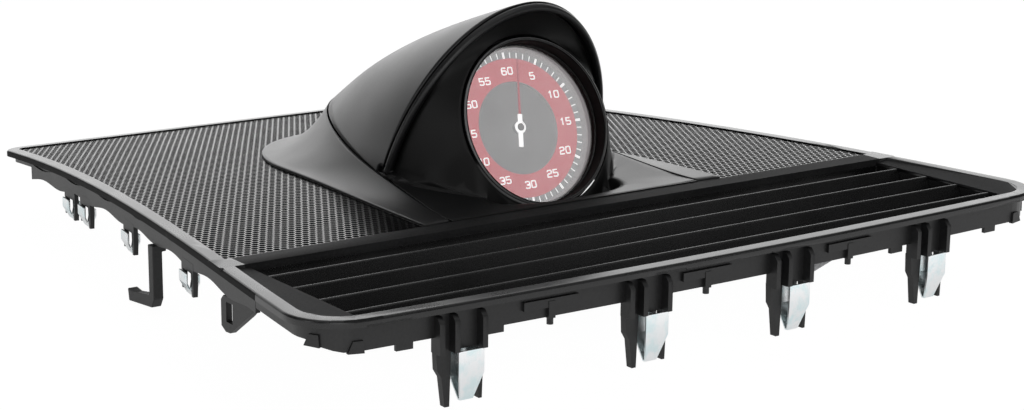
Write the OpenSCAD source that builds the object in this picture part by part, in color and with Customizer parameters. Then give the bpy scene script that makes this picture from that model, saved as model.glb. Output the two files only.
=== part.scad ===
// Centre top panel of a dashboard with a hooded dial clock, a perforated grille and a slatted vent.
// +X is to the right, +Y towards the windscreen and +Z up, in millimetres.
// The origin lies on the seat under the front rim, on the plane of symmetry.

/* [Panel] */
// Half width of the panel where its front corners end
panel_half_w = 188.5; // [175:0.5:205]
// Half width of the panel where its rear corners start
rear_half_w = 141; // [130:0.5:150]
// Distance from the seat line back to where the front corners end
corner_y = 27; // [24:0.5:32]
// Distance from the seat line back to where the rear corners start
rear_y = 383; // [370:1:400]
// How far the front rim stands ahead of the seat line
rim_overhang = 2; // [1.5:0.1:3]
// Radius of the front corners
corner_r = 22; // [18:0.5:26]
// Radius of the rear corners
rear_corner_r = 11; // [10.5:0.5:16]
// Inward slope of the sides at the front corners
side_front_slope = 0.133; // [0.1:0.001:0.16]
// Inward slope of the sides at the rear corners
side_rear_slope = 0.055; // [0.03:0.001:0.08]
// Radius of the crown behind the cross strip
crown_r = 3310; // [2500:10:6000]
// Width of the rim seen from above
rim_w = 6; // [5:0.1:7]
// Thickness of the rim and the cross strip
rim_t = 3; // [2.4:0.1:4]
// Distance from the seat line to the front edge of the cross strip
strip_y = 89; // [82:0.5:96]
// Width of the cross strip
strip_w = 11; // [8:0.5:14]

/* [Grille] */
// Depth of the grille below the rim
mesh_drop = 0.6; // [0.3:0.1:1]
// Thickness of the perforated sheet
mesh_t = 1; // [0.6:0.1:1.4]
// Width of the turned-down hem of the sheet
hem_w = 1.4; // [1:0.1:2]
// Number of openings across the grille; the fine perforation is left out of the solid
grille_cols = 12; // [6:1:12]
// Width of the webs between the openings
grille_web = 9; // [6:0.5:12]

/* [Vent] */
// Width of the panel beside the vent opening
vent_side = 21.5; // [16.5:0.5:33.5]
// Wall of the vent well
well_t = 2.2; // [1.6:0.1:3]
// Depth of the vent well below the seat
well_h = 9.6; // [8:0.1:9.8]
// Number of slats
slat_count = 4; // [3:1:4]
// Distance from the cross strip to the first slat
slat_first = 13; // [11:0.5:14]
// Distance from slat to slat
slat_pitch = 18.7; // [16:0.1:19]
// Depth of the slat edges below the rim
slat_drop = 2; // [1:0.1:3]
// Width of a slat blade
slat_chord = 10.4; // [8:0.1:10.8]
// Thickness of a slat blade
slat_t = 1.8; // [1.4:0.1:2.4]
// Lean of the slat blades from upright
slat_lean = 18; // [5:1:30]
// Fall of the sloped bands beside the vent
band_fall = 1.6; // [0.8:0.1:2]

/* [Rails and clips] */
// Distance of the skirts in from the rim's edge
skirt_inset = 4; // [3.5:0.1:5]
// Wall of the skirts
skirt_t = 2; // [1.6:0.1:2.1]
// Height of the skirts
skirt_h = 9.8; // [8:0.1:12]
// Depth of the scallops along the side skirts
scallop = 2; // [0:0.1:3]
// Distance from scallop to scallop
scallop_pitch = 46; // [36:1:60]
// Width of the ledge that carries the grille
ledge_w = 4.5; // [4:0.1:5.5]
// Thickness of the ledge that carries the grille
ledge_t = 1.6; // [1.2:0.1:2]
// Height of the clip towers below the seat
tower_h = 15.6; // [13:0.1:18]
// Thickness of the clip tower ribs
tower_t = 2.2; // [1.8:0.1:2.6]
// Depth of the clip tower ribs ahead of the plate
tower_rib = 4.2; // [3:0.1:4.8]
// Reach of the tower prongs below the seat
prong_z = 37; // [34:0.5:42]
// Width of a spring clip
clip_w = 11; // [9:0.5:12]
// Sheet thickness of a spring clip
clip_t = 0.8; // [0.6:0.1:1]
// Height of a spring clip
clip_h = 20; // [16:0.5:21]
// Height of the side clips
side_clip_h = 9.4; // [8:0.1:11]
// Radius of the locating pegs
peg_r = 1.3; // [1:0.05:1.3]
// Height of the locating pegs below the skirt
peg_h = 2.5; // [2:0.1:5]
// Distance of the hooks behind the seat line
hook_y = 181; // [170:1:195]
// Reach of the hooks below the seat
hook_z = 38.6; // [33:0.1:41]
// Length of the hook toes
hook_toe = 20; // [14:0.5:24]
// Thickness of the hooks
hook_t = 4.6; // [3:0.1:5]

/* [Hood] */
// Height of the hood lip above the seat
lip_z = 85; // [75:0.5:95]
// Distance of the hood lip's top behind the seat line
lip_y = 136.6; // [130:0.5:142]
// Forward lean of the lip's plane, as run over rise
lip_lean = 0.4; // [0.3:0.01:0.5]
// Half width of the hood
hood_half_w = 61.2; // [56:0.2:66]
// Distance from the seat line to the hood's tail
hood_end_y = 321; // [314:1:328]
// Wall of the hood shell
hood_t = 2.4; // [1.8:0.1:3]
// Radius of the rolled lip
lip_r = 1.9; // [1.2:0.1:2.4]
// Height of the seam above the seat, at the cross strip
seam_z = 1.1; // [0.6:0.1:1.6]
// Rise of the seam towards the windscreen
seam_rise = 0.105; // [0.09:0.005:0.12]
// Gap in the seam between shell and base
seam_gap = 0.4; // [0.2:0.1:0.8]
// Half width of the hood base at the cross strip
base_half_w = 80; // [76:0.5:86]
// Half width of the hood base where its tail begins
base_tail_w = 69; // [66:0.5:74]
// Distance from the seat line to where the base's tail begins
base_tail_y = 234; // [225:1:240]
// Distance from the seat line to the base's rear end
base_end_y = 315; // [312:1:322]
// Skin of the hood base
base_t = 2.2; // [1.6:0.1:2.6]
// Overlap of the hood base on the grille
base_lap = 1.6; // [1:0.1:2]
// Thickness of the carrier plate
carrier_t = 2.6; // [2:0.1:3.4]

/* [Clock] */
// Height of the bezel's front centre above the seat
bezel_z = 32.8; // [31:0.1:35]
// Distance of the bezel's front centre behind the seat line
bezel_y = 131; // [129:0.1:134]
// Backward tilt of the dial from upright
dial_tilt = 21.6; // [16:0.1:26]
// Outside radius of the bezel
bezel_r = 37.8; // [36:0.1:38.4]
// Wall of the bezel
bezel_t = 1.8; // [1.4:0.1:2.4]
// Depth of the bezel tube
bezel_h = 7; // [6.5:0.1:9]
// Width of the bezel flange outside the tube, which is the case's radius too
flange_w = 2.2; // [2:0.1:2.6]
// Thickness of the bezel flange
flange_t = 3; // [2:0.1:4]
// Thickness of the lens
lens_t = 1.5; // [1:0.1:2]
// Height of the slope ring between lens and dial
rehaut_h = 5.6; // [4:0.1:6]
// Thickness of the dial plate
dial_t = 1.2; // [0.8:0.1:1.6]
// Outside radius of the red ring
ring_r = 31.5; // [29:0.1:33]
// Inside radius of the red ring
ring_in_r = 21; // [19:0.1:23]
// Thickness of the red ring
ring_t = 0.3; // [0.2:0.05:0.5]
// Wall of the clock case
case_t = 1.7; // [1.4:0.1:2]
// Depth of the clock case behind the flange
case_h = 26; // [24:0.5:28]
// Thickness of the back cover
cover_t = 2; // [1.6:0.1:2.6]

/* [Hand and movement] */
// Length of the red needle from the axis
needle_len = 31; // [26:0.5:33]
// Angle of the hand past the top mark at rest
hand_turn = 11; // [0:1:30]
// Thickness of the hand
hand_t = 0.8; // [0.6:0.1:1]
// Outside radius of the hand's hub ring
hub_r = 2.7; // [2.2:0.1:3.2]
// Radius of the boss in the hub ring
boss_r = 1.7; // [1.4:0.1:2]
// Gap between hand and dial
hand_gap = 0.9; // [0.6:0.1:1.4]
// Radius of the arbor
arbor_r = 0.75; // [0.6:0.05:0.9]
// Running clearance of the arbor and pins
run_gap = 0.05; // [0.03:0.01:0.08]
// Tooth module of the gears
gear_m = 0.5; // [0.45:0.01:0.55]
// Thickness of the wheels
wheel_t = 1.4; // [1:0.1:1.6]
// Backlash of the gear teeth
backlash = 0.08; // [0.04:0.01:0.12]
// Radius of the rotor magnet
magnet_r = 4.2; // [3.5:0.1:5]

/* [Hidden] */
$fn = 64;
eps = 0.01;
gap = 0.1;

black = [0.09, 0.09, 0.095];
dark = [0.05, 0.05, 0.055];
zinc = [0.78, 0.8, 0.82];
red = [0.72, 0.16, 0.22];
grey = [0.42, 0.42, 0.43];
steel = [0.66, 0.66, 0.68];

vent_half_w = panel_half_w - vent_side;
case_r = bezel_r + flange_w;

// Places along the front rail and the side rails
tower_x = panel_half_w*[-0.661, -0.208, 0.187, 0.617];
peg_x = panel_half_w*[-0.467, -0.067, 0.344];
tab_x = panel_half_w*[-0.8, -0.594, 0.5, 0.816];
side_clip_y = rear_y*[0.366, 0.572, 0.738, 0.798];

function lerp(a, b, t) = a + (b - a)*t;
function unit(v) = v/norm(v);
function mirrored(pts) = [for (i = [len(pts) - 1:-1:0]) [-pts[i].x, pts[i].y]];
function bez(p, t) = pow(1 - t, 3)*p[0] + 3*t*pow(1 - t, 2)*p[1] + 3*t*t*(1 - t)*p[2] + pow(t, 3)*p[3];
function bez_dir(p, t) = pow(1 - t, 2)*(p[1] - p[0]) + 2*t*(1 - t)*(p[2] - p[1]) + t*t*(p[3] - p[2]);
function outward(dir) = unit([dir.y, -dir.x]);
function bez_in(p, t, d) = bez(p, t) - d*outward(bez_dir(p, t));
function arc_pts(c, r, a0, a1, n) = [for (i = [0:n]) c + r*[cos(lerp(a0, a1, i/n)), sin(lerp(a0, a1, i/n))]];

// The panel's outline: a bowed front, round corners and sides that narrow to the rear
side_third = (rear_y - corner_y)/3;
side = [
  [panel_half_w, corner_y], [panel_half_w - side_front_slope*side_third, corner_y + side_third],
  [rear_half_w + side_rear_slope*side_third, rear_y - side_third], [rear_half_w, rear_y]
];
side_a0 = atan(side_front_slope);
side_a1 = atan(side_rear_slope);
corner_c = side[0] - corner_r*[cos(side_a0), sin(side_a0)];
rear_c = side[3] - rear_corner_r*[cos(side_a1), sin(side_a1)];
back_y = rear_c.y + rear_corner_r;
front_sag = corner_c.y - corner_r + rim_overhang;
front_r = (pow(corner_c.x, 2) + pow(front_sag, 2))/(2*front_sag);
front_a = asin(corner_c.x/front_r);
side_steps = 14;
function outline_half(d) = concat(
  arc_pts([0, front_r - rim_overhang], front_r - d, -90, -90 + front_a*0.97, 6),
  arc_pts(corner_c, corner_r - d, -90 + front_a, side_a0, 8),
  [for (i = [1:side_steps - 1]) bez_in(side, i/side_steps, d)],
  arc_pts(rear_c, rear_corner_r - d, side_a1, 90, 5)
);
function outline(d) = concat(outline_half(d), mirrored(outline_half(d)));
function side_t(y, lo = 0, hi = 1, n = 18) =
  n == 0 ? (lo + hi)/2
  : bez(side, (lo + hi)/2).y < y ? side_t(y, (lo + hi)/2, hi, n - 1) : side_t(y, lo, (lo + hi)/2, n - 1);
function side_x(y) = bez(side, side_t(y)).x;

module panel_2d(d) {
  polygon(outline(d));
}

// The crown: level to the cross strip, then a long arc down to the rear
function crown(y) = y > strip_y ? -pow(y - strip_y, 2)/(2*crown_r) : 0;
crown_step = 24;
band_from = -40;
crown_end = back_y + 2*crown_step;
crown_ys = concat([band_from, strip_y], [for (y = [strip_y + crown_step:crown_step:crown_end]) y]);
wave_ys = [for (y = [band_from:4:crown_end]) y];
function wave(y) = scallop*(1 - cos(360*(y - hook_y - 2)/scallop_pitch))/2;

module crown_solid(top_pts, bottom_pts) {
  rotate([90, 0, 90])
    linear_extrude(2*panel_half_w + 40, center = true)
      polygon(concat(top_pts, [for (i = [len(bottom_pts) - 1:-1:0]) bottom_pts[i]]));
}

module on_crown(top, bottom, scalloped = false) {
  waved = scalloped && top < 0;
  intersection() {
    translate([0, 0, -80])
      linear_extrude(160)
        children();
    crown_solid(
      [for (y = waved ? wave_ys : crown_ys) [y, crown(y) + top - (waved ? wave(y) : 0)]],
      [for (y = scalloped ? wave_ys : crown_ys) [y, crown(y) + bottom + (scalloped ? wave(y) : 0)]]
    );
  }
}

module band_2d(y0, y1) {
  translate([-250, y0])
    square([500, y1 - y0]);
}

// The outline of the hood base, from the cross strip round the tail
base_y = strip_y + strip_w + gap;
base_flank = [
  [base_half_w, base_y], [base_half_w - 1, lerp(base_y, base_tail_y, 0.35)],
  [lerp(base_tail_w, base_half_w, 0.3), lerp(base_y, base_tail_y, 0.7)], [base_tail_w, base_tail_y]
];
base_tail = [
  [base_tail_w, base_tail_y], [base_tail_w - 3, lerp(base_tail_y, base_end_y, 0.48)],
  [base_tail_w*0.6, base_end_y], [0, base_end_y]
];
flank_steps = 8;
tail_steps = 12;
function base_half(d) = concat(
  [for (i = [0:flank_steps]) bez_in(base_flank, i/flank_steps, d)],
  [for (i = [1:tail_steps]) bez_in(base_tail, i/tail_steps, d)]
);

module base_2d(d, y0) {
  pts = [for (p = base_half(d)) [p.x, p.y]];
  polygon(concat([[pts[0].x, y0]], pts, mirrored(pts), [[-pts[0].x, y0]]));
}

// A groove bounds the middle of the seat, which carries the origin
seat_x = [-26, 18];
seat_w = 2.3;
module seat_groove() {
  groove = 0.6;
  translate([seat_x[0] - groove, -2*rim_overhang, -groove])
    difference() {
      cube([seat_x[1] - seat_x[0] + 2*groove, rim_overhang + seat_w + groove, 2*groove]);
      translate([groove, -groove, -groove])
        cube([seat_x[1] - seat_x[0], rim_overhang + seat_w + groove, 4*groove]);
    }
}

module trim_frame() {
  slope_w = panel_half_w - rim_w - vent_half_w;
  color(black)
    difference() {
      on_crown(rim_t, 0)
        difference() {
          panel_2d(0);
          intersection() {
            panel_2d(rim_w);
            band_2d(strip_y + strip_w, back_y);
          }
          intersection() {
            panel_2d(rim_w);
            translate([-vent_half_w, -rim_overhang])
              square([2*vent_half_w, strip_y + rim_overhang]);
          }
        }
      for (s = [-1, 1])
        intersection() {
          translate([0, 0, rim_t - band_fall])
            linear_extrude(2*band_fall)
              intersection() {
                panel_2d(rim_w);
                band_2d(-rim_overhang, strip_y);
              }
          translate([s*vent_half_w, 0, rim_t - band_fall])
            rotate([0, -s*atan(band_fall/slope_w), 0])
              translate([-panel_half_w/2, -20, 0])
                cube([panel_half_w, strip_y + 20, 4*band_fall]);
        }
      seat_groove();
    }
}

mesh_in = rim_w + gap;
mesh_y = strip_y + strip_w + gap;
module mesh_region(d) {
  difference() {
    intersection() {
      panel_2d(mesh_in + d);
      band_2d(mesh_y + d, back_y);
    }
    base_2d(base_lap - d, strip_y);
  }
}

// A plain grid of openings, clear of the ledge and of the hood base
module grille_holes() {
  pitch = 2*panel_half_w/grille_cols;
  rows = ceil((back_y - mesh_y)/pitch);
  intersection() {
    mesh_region(ledge_w + 0.6);
    for (i = [0:grille_cols - 1], j = [0:rows - 1])
      translate([i*pitch - panel_half_w + grille_web/2, mesh_y + j*pitch + grille_web/2])
        square(pitch - grille_web);
  }
}

module mesh_sheet() {
  mesh_top = rim_t - mesh_drop;
  color(dark)
    union() {
      on_crown(mesh_top, mesh_top - mesh_t)
        difference() {
          mesh_region(0);
          grille_holes();
        }
      on_crown(mesh_top - mesh_t + eps, 0)
        difference() {
          intersection() {
            panel_2d(mesh_in);
            band_2d(mesh_y + ledge_w, back_y);
          }
          panel_2d(mesh_in + hem_w);
        }
    }
}

well_in = rim_w + 0.2;
module vent_well() {
  color(dark)
    translate([0, 0, -well_h])
      linear_extrude(well_h)
        difference() {
          intersection() {
            panel_2d(well_in);
            translate([-vent_half_w - well_t, -rim_overhang])
              square([2*vent_half_w + 2*well_t, strip_y + rim_overhang + well_t]);
          }
          intersection() {
            panel_2d(well_in + well_t);
            translate([-vent_half_w, -rim_overhang])
              square([2*vent_half_w, strip_y + rim_overhang]);
          }
        }
}

module vent_slats() {
  color(dark)
    for (i = [0:slat_count - 1])
      translate([-vent_half_w, strip_y - slat_first - i*slat_pitch, rim_t - slat_drop])
        rotate([90, 0, 90])
          linear_extrude(2*vent_half_w)
            rotate(-slat_lean)
              polygon([
                [-slat_t/2, -slat_chord], [slat_t/2, -slat_chord], [slat_t/2, -slat_t/3],
                [slat_t/5, 0], [-slat_t/5, 0], [-slat_t/2, -slat_t/3]
              ]);
}

rail_split = 62;
rear_split = rear_y - 22;
rear_h = 3.4;
rail_gap = 0.3;

module ring_2d(outer, inner) {
  difference() {
    panel_2d(outer);
    panel_2d(inner);
  }
}

module skirt_2d() {
  ring_2d(skirt_inset, skirt_inset + skirt_t);
}

module ledge_2d() {
  ring_2d(skirt_inset + skirt_t/2, rim_w + ledge_w);
}

// The front edge is an arc: children stand at its middle and are turned along it to a given X
module at_front(x) {
  translate([0, front_r - rim_overhang, 0])
    rotate(asin(x/front_r))
      translate([0, rim_overhang - front_r, 0])
        children();
}

// One clip tower: a plate in the skirt, three ribs ahead of it and two prongs
tower_left = 14.2;
tower_right = 6.4;
prong_deep = 3.2;
skirt_y = skirt_inset - rim_overhang;
module tower() {
  rib_top = tower_h - 1.5;
  translate([-tower_left, skirt_y, -tower_h])
    cube([tower_left + tower_right, skirt_t, tower_h]);
  for (x = [-tower_left, -clip_w/2 - tower_t, tower_right - tower_t])
    translate([x, skirt_y, -tower_h])
      rotate([90, 0, 90])
        linear_extrude(tower_t)
          polygon([
            [1, 0], [-tower_rib, 0], [-tower_rib, rib_top - 2.5], [-tower_rib/2, rib_top], [1, rib_top]
          ]);
  translate([0, skirt_y + prong_deep, 0])
    rotate([90, 0, 0])
      linear_extrude(prong_deep) {
        polygon([
          [1 - tower_left, 1 - tower_h], [1.4 - tower_left, -tower_h - 7],
          [3.2 - tower_left, -tower_h - 10], [4.6 - tower_left, -prong_z],
          [6.6 - tower_left, -prong_z], [7.4 - tower_left, 1 - tower_h]
        ]);
        polygon([
          [clip_w/2 - 1, 1 - tower_h], [clip_w/2 - 0.4, -prong_z + 1], [clip_w/2 + 1, -prong_z + 1],
          [clip_w/2 + 1.7, 1 - tower_h]
        ]);
      }
}

peg_y = skirt_y - 0.05;
peg_wall = 0.2;
peg_top = -skirt_h - 0.3;
lug_w = 25;
lug_h = 3.4;
lug_out = 1.3;
module corner_lug() {
  wedge = 4;
  for (p = [[-30, -0.76*skirt_h], [-80, -skirt_h]])
    translate([corner_c.x, corner_c.y, p[1]])
      rotate(p[0])
        translate([corner_r - skirt_inset - skirt_t/2, -wedge/2, 0])
          rotate([90, 0, 90])
            linear_extrude(skirt_t/2 + 0.8)
              polygon([[0, 4], [-0.4, -0.7], [wedge + 2, -0.4], [wedge, 4]]);
}
tab_w = 7;
tab_h = 2.6;
module front_rail() {
  color(black)
    union() {
      intersection() {
        translate([0, 0, -2*skirt_h])
          linear_extrude(4*skirt_h)
            intersection() {
              skirt_2d();
              band_2d(-2*rim_overhang, rail_split);
            }
        crown_solid(
          [[band_from, 0], [2*rail_split, 0]],
          [
            [band_from, -skirt_h], [8, -skirt_h], [0.4*corner_y + 8, -0.6*skirt_h],
            [2*rail_split, -0.6*skirt_h]
          ]
        );
      }
      for (x = tower_x)
        at_front(x)
          tower();
      for (x = peg_x)
        at_front(x) {
          translate([0, peg_y, peg_top - peg_h])
            cylinder(r = peg_r, h = peg_h + 1, $fn = 48);
          translate([-peg_r - peg_wall, peg_y - peg_r - peg_wall, peg_top])
            cube([2*peg_r + 2*peg_wall, 2*peg_r + 2*peg_wall, -peg_top - lug_h]);
          translate([-lug_w/2, skirt_y - lug_out, -lug_h - 2.4])
            cube([lug_w, lug_out + skirt_t/2, lug_h]);
        }
      for (x = tab_x)
        at_front(x)
          translate([-tab_w/2, skirt_y + 0.2, -skirt_h - tab_h])
            cube([tab_w, skirt_t - 0.4, tab_h + 2]);
      for (s = [0, 1])
        mirror([s, 0, 0])
          corner_lug();
    }
}

// Prongs below the side rails that carry the side clips
side_clip_w = 9;
side_clip_deep = 6;
prong_side_w = 3;
module side_prong(y) {
  half = side_clip_w/2 + 0.4;
  low = -1.4 - 0.9*side_clip_h;
  translate([side_x(y) - skirt_inset - skirt_t, y, crown(y) - skirt_h])
    rotate([90, 0, 90 - atan((side_x(y + 5) - side_x(y - 5))/10)])
      linear_extrude(skirt_t)
        polygon([
          [-half - prong_side_w, scallop + 1], [-half - prong_side_w, low + 3], [-half - 2.4, low - 1],
          [-half - 0.6, low - 1], [-half, -1.4], [half, -1.4], [half + 0.6, low], [half + 1.6, low],
          [half + 2, -1.4], [half + 2, scallop + 1]
        ]);
}

module side_rail() {
  union() {
    on_crown(0, -skirt_h, true)
      intersection() {
        ring_2d(skirt_inset + 0.4*skirt_t, skirt_inset + skirt_t);
        band_2d(rail_split + rail_gap, rear_split);
        translate([0, -50])
          square([300, 600]);
      }
    on_crown(-1.4, -skirt_h, true)
      intersection() {
        ring_2d(skirt_inset, skirt_inset + 0.6*skirt_t);
        band_2d(rail_split + rail_gap + eps, rear_split - eps);
        translate([0, -50])
          square([300, 600]);
      }
    on_crown(0, -ledge_t)
      intersection() {
        ledge_2d();
        band_2d(strip_y + strip_w + ledge_w, rear_split);
        translate([0, -50])
          square([300, 600]);
      }
    for (y = side_clip_y)
      side_prong(y);
  }
}

module right_rail() {
  color(black)
    side_rail();
}

module left_rail() {
  color(black)
    mirror([1, 0, 0])
      side_rail();
}

module rear_rail() {
  color(black)
    union() {
      on_crown(0, -rear_h)
        intersection() {
          skirt_2d();
          band_2d(rear_split + rail_gap, back_y);
        }
      on_crown(0, -ledge_t)
        intersection() {
          ledge_2d();
          band_2d(rear_split + rail_gap, back_y);
        }
    }
}

// A bent spring clip: its outer leg stands at -Y, it hangs down from Z = 0
clip_deep = 8.4;
module spring_clip(w, h, deep) {
  bend = 0.46*h;
  foot = 0.42*deep;
  intersection() {
    translate([-w/2, 0, 0])
      rotate([90, 0, 90])
        linear_extrude(w)
          polygon([
            [0, 0], [0, -bend], [foot, -h], [foot + 1.6, -h], [deep, -bend], [deep, -1],
            [deep - clip_t, -1], [deep - clip_t, -bend + 0.3], [foot + 1.2, clip_t - h],
            [foot + 0.5, clip_t - h], [clip_t, -bend + 0.2], [clip_t, 0]
          ]);
    rotate([90, 0, 0])
      linear_extrude(4*deep, center = true)
        polygon([[-w/2, 1], [-w/2, -bend], [-0.24*w, -h - 1], [0.24*w, -h - 1], [w/2, -bend], [w/2, 1]]);
  }
}

clip_y0 = skirt_y - 3.2;
module front_clips() {
  color(zinc)
    for (x = tower_x)
      at_front(x)
        translate([0, clip_y0, -tower_h - gap])
          spring_clip(clip_w, clip_h, clip_deep);
}

module side_clips() {
  color(zinc)
    for (y = side_clip_y, s = [-1, 1])
      translate([s*(side_x(y) - skirt_inset - skirt_t/2), y, crown(y) - skirt_h - 1.4 - gap])
        rotate(s*(90 + atan((side_x(y - 5) - side_x(y + 5))/10)))
          translate([0, -side_clip_deep/2, 0])
            spring_clip(side_clip_w, side_clip_h, side_clip_deep);
}

// Hooks below the side skirts, with a tongue behind each skirt
hook_in = skirt_inset + skirt_t + 0.3;
hook_arm = 4.4;
tongue_t = 2;
module hooks() {
  hook_foot = 4;
  arm_top = crown(hook_y) - skirt_h - 0.2;
  color(black)
    for (s = [0, 1])
      mirror([s, 0, 0])
        translate([side_x(hook_y + hook_arm), hook_y, 0])
          rotate([90, 0, 90]) {
            translate([0, 0, -hook_in])
              linear_extrude(hook_t)
                polygon([
                  [0, arm_top], [0, 4 - hook_z], [2.4, -hook_z], [hook_toe + 4, -hook_z - 2],
                  [hook_toe + 5, 3.4 - hook_z], [hook_toe, 2.7 - hook_z],
                  [hook_arm + 1, hook_foot + 1 - hook_z], [hook_arm, hook_foot + 2.5 - hook_z],
                  [hook_arm, arm_top]
                ]);
            translate([0, 0, -hook_in - tongue_t + 0.1])
              linear_extrude(tongue_t)
                translate([0, arm_top - 3])
                  square([hook_arm, skirt_h - ledge_t - gap + 3]);
          }
}

// Slotted brackets below the side skirts, with a tongue behind each skirt
bracket_y = 73;
bracket_t = 2.6;
bracket_in = skirt_inset + skirt_t + 0.6;
bracket_w = 25.5;
bracket_h = 14.4;
module slotted_brackets() {
  slot_w = 5;
  slot_h = 8;
  tongue_w = 5;
  tongue_from = strip_y + well_t + 2*gap - bracket_y;
  top = -skirt_h - 0.2;
  color(black)
    for (s = [0, 1])
      mirror([s, 0, 0])
        translate([side_x(bracket_y + bracket_w - 3.5), bracket_y, 0])
          rotate([90, 0, 90]) {
            translate([0, 0, -bracket_in])
              linear_extrude(bracket_t)
                difference() {
                  polygon([
                    [0, top], [0, top - 1], [3, top - 0.25*bracket_h], [bracket_w - 7, top - bracket_h + 0.2],
                    [bracket_w - 3.5, top - bracket_h], [bracket_w, top - bracket_h + 1.8],
                    [bracket_w, top - 2], [bracket_w - 2, top]
                  ]);
                  translate([bracket_w - 9.1, top - slot_h - 2.2])
                    square([slot_w, slot_h]);
                }
            translate([0, 0, -bracket_in - tongue_t + 0.1])
              linear_extrude(tongue_t)
                translate([tongue_from, top - 2])
                  square([tongue_w, 2 - top - gap]);
          }
}

module felt_tab() {
  tab_len = 18;
  tab_deep = 5;
  color([0.8, 0.8, 0.8])
    at_front(tower_x[2])
      translate([tower_right + 3, well_in + well_t/2 - rim_overhang, -well_h])
        rotate([90, 0, 0])
          linear_extrude(1.2, center = true)
            polygon([[0, 0], [tab_len, 0], [2, -tab_deep], [0, -tab_deep]]);
}

// The hood's outer surface: elliptic sections whose width and height shrink to the tail
pivot_y = (lip_y + lip_lean*(lip_z - seam_z + seam_rise*strip_y))/(1 + lip_lean*seam_rise);
pivot_z = seam_z + seam_rise*(pivot_y - strip_y);
lip_phi = 90 + atan(lip_lean);
seam_phi = atan(seam_rise);
tail_z = rim_t + crown(hood_end_y);
function hood_u(y) = max(0, min(1, (y - lip_y)/(hood_end_y - lip_y)));
function hood_w(y) = hood_half_w*pow(1 - pow(hood_u(y), 1.7), 0.75);
function hood_top(y) = let(u = hood_u(y)) lip_z - (lip_z - tail_z)*(0.62*u + 0.045*u*u + 0.335*u*u*u);
function in_hood(p, off) =
  let(w = max(hood_w(p.y) - off, eps), h = max(hood_top(p.y) - off - rim_t - crown(p.y), eps))
  pow(p.x/w, 2) + pow((p.z - rim_t - crown(p.y))/h, 2) < 1 && p.y < hood_end_y - off;
function hood_ray(phi, psi, r) = [r*cos(psi), pivot_y + r*sin(psi)*cos(phi), pivot_z + r*sin(psi)*sin(phi)];
function hood_r(phi, psi, off, lo = 0, hi = 260, n = 22) =
  n == 0 ? (lo + hi)/2
  : in_hood(hood_ray(phi, psi, (lo + hi)/2), off) ? hood_r(phi, psi, off, (lo + hi)/2, hi, n - 1)
  : hood_r(phi, psi, off, lo, (lo + hi)/2, n - 1);
function hood_pt(phi, psi, off) = hood_ray(phi, psi, hood_r(phi, psi, off));

// A solid skinned over equal closed loops of points; cap lists the triangles that close an end
module skin(loops, cap = []) {
  n = len(loops);
  m = len(loops[0]);
  ring = len(cap) == 0;
  walls = [
    for (i = [0:(ring ? n - 1 : n - 2)], j = [0:m - 1])
      let(a = i*m + j, b = i*m + (j + 1) % m, c = ((i + 1) % n)*m + (j + 1) % m, d = ((i + 1) % n)*m + j)
        each [[a, b, c], [a, c, d]]
  ];
  caps = [for (t = cap) each [[t[2], t[1], t[0]], [for (k = t) (n - 1)*m + k]]];
  polyhedron([for (l = loops) each l], concat(walls, caps), convexity = 8);
}

function fan_cap(m) = [for (j = [1:m - 2]) [0, j, j + 1]];
function band_cap(m) = [
  for (j = [0:m/2 - 2])
    each [[j, j + 1, m - 2 - j], [j, m - 2 - j, m - 1 - j]]
];

shell_rows = 9;
shell_cols = 26;
shell_psi = 3.5;
module hood_shell() {
  seam_lift = atan(seam_gap/60);
  color(black)
    skin([
      for (i = [0:shell_rows])
        let(phi = lerp(lip_phi, seam_phi + seam_lift, i/shell_rows))
          concat(
            [for (j = [0:shell_cols]) hood_pt(phi, lerp(shell_psi, 180 - shell_psi, j/shell_cols), 0)],
            [for (j = [shell_cols:-1:0]) hood_pt(phi, lerp(shell_psi, 180 - shell_psi, j/shell_cols), hood_t)]
          )
    ], band_cap(2*shell_cols + 2));
}

lip_steps = 36;
lip_sides = 10;
lip_normal = [0, -cos(lip_phi - 90), -sin(lip_phi - 90)];
module hood_lip() {
  color(dark)
    skin([
      for (i = [0:lip_steps])
        let(
          psi = lerp(1.5, 178.5, i/lip_steps),
          c = hood_pt(lip_phi, psi, lip_r) + (lip_r + gap)*lip_normal,
          radial = unit([cos(psi), sin(psi)*cos(lip_phi), sin(psi)*sin(lip_phi)])
        )
          [
            for (k = [0:lip_sides - 1])
              c + lip_r*(cos(360*k/lip_sides)*radial + sin(360*k/lip_sides)*lip_normal)
          ]
    ], fan_cap(lip_sides));
}

// The seam curve on one side: straight beside the floor, then round the hood's tail
floor_half_w = base_half_w - 13;
floor_y = base_y + 1;
function seam_height(y) = max(seam_z + seam_rise*(y - strip_y), rim_t + 0.6);
function seam_front(t) =
  let(x = lerp(floor_half_w, hood_pt(seam_phi, 0, 0).x, t), y = lerp(floor_y, pivot_y, t))
  [x, y, seam_height(y)];
seam_half = concat(
  [for (i = [0:flank_steps/2]) seam_front(i/(flank_steps/2))],
  [for (i = [1:flank_steps/2 + tail_steps]) hood_pt(seam_phi, 90*i/(flank_steps/2 + tail_steps), 0)]
);

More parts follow.
